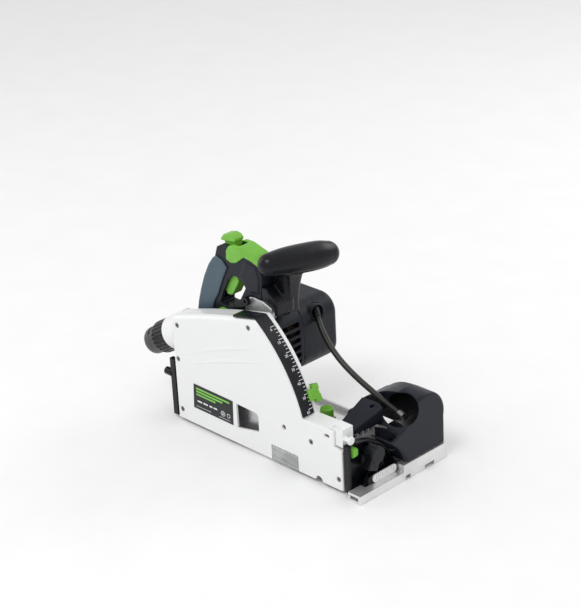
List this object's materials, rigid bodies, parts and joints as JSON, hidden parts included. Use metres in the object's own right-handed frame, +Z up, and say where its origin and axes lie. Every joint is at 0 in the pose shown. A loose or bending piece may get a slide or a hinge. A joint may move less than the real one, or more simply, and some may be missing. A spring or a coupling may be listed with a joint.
{
  "type": "track plunge saw",
  "caption": "Portable circular saw that plunges its blade through a guide-rail sole plate, tilts for bevel cuts and scores ahead of the main blade.",
  "frame": {"origin": "centre of the sole plate's length and of its main width, on its underside", "axes": "+X is the cutting direction, +Y points away from the blade towards the motor side, +Z is up"},
  "size_m": [0.4264, 0.169, 0.2804],
  "materials": {
    "cast_aluminium": "fine cast and milled",
    "dark_metal": "dark zinc plated",
    "bright_steel": "ground",
    "blade_steel": "ground, satin",
    "white_paint": "gloss",
    "anthracite": "fine texture",
    "black_plastic": "satin",
    "green_plastic": "satin gloss",
    "blue_grey": "soft touch",
    "black_label": "printed film",
    "white_label": "printed film",
    "clear": "clear polycarbonate",
    "copper": "wound laminations",
    "board": "lacquered",
    "lead_rubber": "smooth",
    "knob_black": "satin"
  },
  "bodies": {
    "base": {"sole_plate": "cast_aluminium", "bevel_brackets": "anthracite", "base_bolts": "dark_metal", "bevel_scale_label": "white_label"},
    "front_clamp": {"front_clamp_knob": "knob_black"},
    "rear_clamp": {"rear_clamp_knob": "knob_black"},
    "front_gib": {"front_gib_knob": "green_plastic"},
    "rear_gib": {"rear_gib_knob": "green_plastic"},
    "housing": {"blade_housing": "cast_aluminium", "side_cover": "white_paint", "splinter_guard": "clear", "depth_scale": "black_label", "cover_screws": "dark_metal", "rating_label": "black_label", "front_segment": "black_plastic", "rear_segment": "black_plastic", "plunge_pin": "bright_steel", "plunge_spring": "bright_steel", "scoring_cover": "anthracite", "scoring_motor": "dark_metal", "scoring_adjuster": "cast_aluminium"},
    "bevel_slider": {"bevel_stop_slider": "green_plastic"},
    "stop_carriage": {"depth_stop": "green_plastic"},
    "stop_button": {"depth_stop_button": "black_plastic"},
    "dust_port": {"dust_collar": "black_plastic", "dust_spigot": "black_plastic"},
    "score_rotor": {"scoring_rotor": "dark_metal"},
    "score_arm": {"scoring_arm": "anthracite", "scoring_belt": "lead_rubber"},
    "score_spindle": {"scoring_spindle": "bright_steel", "scoring_blade": "blade_steel", "scoring_nut": "dark_metal"},
    "score_knob": {"scoring_depth_knob": "green_plastic"},
    "saw": {"gear_case": "cast_aluminium", "bearing_plate": "cast_aluminium", "bearings": "bright_steel", "motor_stator": "copper", "motor_housing": "anthracite", "motor_cap": "anthracite", "control_board": "board", "lead_gland": "black_plastic", "scoring_lead": "lead_rubber", "handle_frame": "anthracite", "rear_grip": "blue_grey", "handle_shell": "green_plastic", "mains_socket": "black_plastic", "aux_handle": "black_plastic"},
    "arbor_set": {"arbor": "bright_steel", "arbor_gear": "bright_steel", "blade_flanges": "bright_steel", "blade_screw": "dark_metal", "saw_blade": "blade_steel"},
    "rotor_set": {"motor_rotor": "dark_metal", "cooling_fan": "black_plastic"},
    "idler_set": {"idler_gear": "bright_steel"},
    "knife": {"riving_knife": "bright_steel"},
    "trigger_key": {"trigger": "green_plastic"},
    "release_key": {"plunge_button": "green_plastic"},
    "dial": {"speed_dial": "green_plastic"},
    "lever": {"change_lever": "black_plastic"}
  },
  "joints": [
    {"name": "bevel_tilt", "type": "hinge", "parent": "base", "child": "housing", "pos_m": [0, -0.064, 0], "axis": [1, 0, 0], "range_deg": [0, 47]},
    {"name": "front_clamp_turn", "type": "hinge", "parent": "base", "child": "front_clamp", "pos_m": [0.16, -0.04082, 0.05207], "axis": [1, 0, 0], "range_deg": [-60, 0]},
    {"name": "rear_clamp_turn", "type": "hinge", "parent": "base", "child": "rear_clamp", "pos_m": [-0.19, -0.04082, 0.05207], "axis": [1, 0, 0], "range_deg": [-60, 0]},
    {"name": "front_gib_turn", "type": "hinge", "parent": "base", "child": "front_gib", "pos_m": [-0.01, 0.0467, 0.012], "axis": [0, 0, 1], "range_deg": [-90, 90]},
    {"name": "rear_gib_turn", "type": "hinge", "parent": "base", "child": "rear_gib", "pos_m": [-0.12, 0.0467, 0.012], "axis": [0, 0, 1], "range_deg": [-90, 90]},
    {"name": "bevel_stop_slide", "type": "slide", "parent": "housing", "child": "bevel_slider", "axis": [0, 0, 1], "range_m": [0, 0.004]},
    {"name": "depth_setting", "type": "hinge", "parent": "housing", "child": "stop_carriage", "pos_m": [-0.147, 0, 0.021], "axis": [0, 1, 0], "range_deg": [-26, 0]},
    {"name": "stop_button_press", "type": "slide", "parent": "stop_carriage", "child": "stop_button", "axis": [0, -1, 0], "range_m": [0, 0.002], "stiffness_N_per_m": 400, "springref_m": -0.002},
    {"name": "dust_port_swivel", "type": "hinge", "parent": "housing", "child": "dust_port", "pos_m": [-0.195, -0.053, 0.1175], "axis": [-0.866, 0, -0.5], "range_deg": [-90, 90]},
    {"name": "scoring_motor_spin", "type": "hinge", "parent": "housing", "child": "score_rotor", "pos_m": [0.148, 0, 0.05], "axis": [0, 1, 0], "continuous": true},
    {"name": "scoring_depth", "type": "hinge", "parent": "housing", "child": "score_arm", "pos_m": [0.148, 0, 0.05], "axis": [0, 1, 0], "range_deg": [-8.4, 0]},
    {"name": "scoring_spin", "type": "hinge", "parent": "score_arm", "child": "score_spindle", "pos_m": [0.1, -0.064, 0.028], "axis": [0, 1, 0], "continuous": true},
    {"name": "scoring_depth_knob_turn", "type": "hinge", "parent": "housing", "child": "score_knob", "pos_m": [0.057, -0.02, 0.066], "axis": [0, 0, 1], "range_deg": [0, 270]},
    {"name": "plunge", "type": "hinge", "parent": "housing", "child": "saw", "pos_m": [-0.147, 0, 0.021], "axis": [0, 1, 0], "range_deg": [0, 31.7], "stiffness_Nm_per_rad": 3, "springref_deg": -108.86, "deforming": ["scoring_lead"]},
    {"name": "blade_spin", "type": "hinge", "parent": "saw", "child": "arbor_set", "pos_m": [-0.037, -0.064, 0.09], "axis": [0, 1, 0], "continuous": true},
    {"name": "motor_spin", "type": "hinge", "parent": "saw", "child": "rotor_set", "pos_m": [-0.065, 0, 0.132], "axis": [0, 1, 0], "continuous": true},
    {"name": "idler_spin", "type": "hinge", "parent": "saw", "child": "idler_set", "pos_m": [-0.05392, -0.038, 0.11538], "axis": [0, 1, 0], "continuous": true},
    {"name": "knife_swing", "type": "hinge", "parent": "saw", "child": "knife", "pos_m": [-0.037, -0.057, 0.09], "axis": [0, 1, 0], "range_deg": [-38.1, 0.1]},
    {"name": "trigger_pull", "type": "hinge", "parent": "saw", "child": "trigger_key", "pos_m": [-0.098, -0.025, 0.233], "axis": [0, 1, 0], "range_deg": [0, 10], "stiffness_Nm_per_rad": 0.6, "springref_deg": -8.59},
    {"name": "release_push", "type": "slide", "parent": "saw", "child": "release_key", "axis": [1, 0, 0], "range_m": [0, 0.004], "stiffness_N_per_m": 600, "springref_m": -0.003},
    {"name": "speed_dial_turn", "type": "hinge", "parent": "saw", "child": "dial", "pos_m": [-0.111, -0.038, 0.163], "axis": [0, 1, 0], "range_deg": [0, 270]},
    {"name": "change_lever_turn", "type": "hinge", "parent": "saw", "child": "lever", "pos_m": [-0.06, -0.043, 0.199], "axis": [0, 1, 0], "range_deg": [0, 40]}
  ],
  "couplings": [
    {"joint": "motor_spin", "follows": "blade_spin", "ratio": 2.75},
    {"joint": "idler_spin", "follows": "blade_spin", "ratio": -1.1786},
    {"joint": "scoring_spin", "follows": "scoring_motor_spin", "ratio": 0.8},
    {"joint": "knife_swing", "follows": "plunge", "ratio": -1.2}
  ]
}
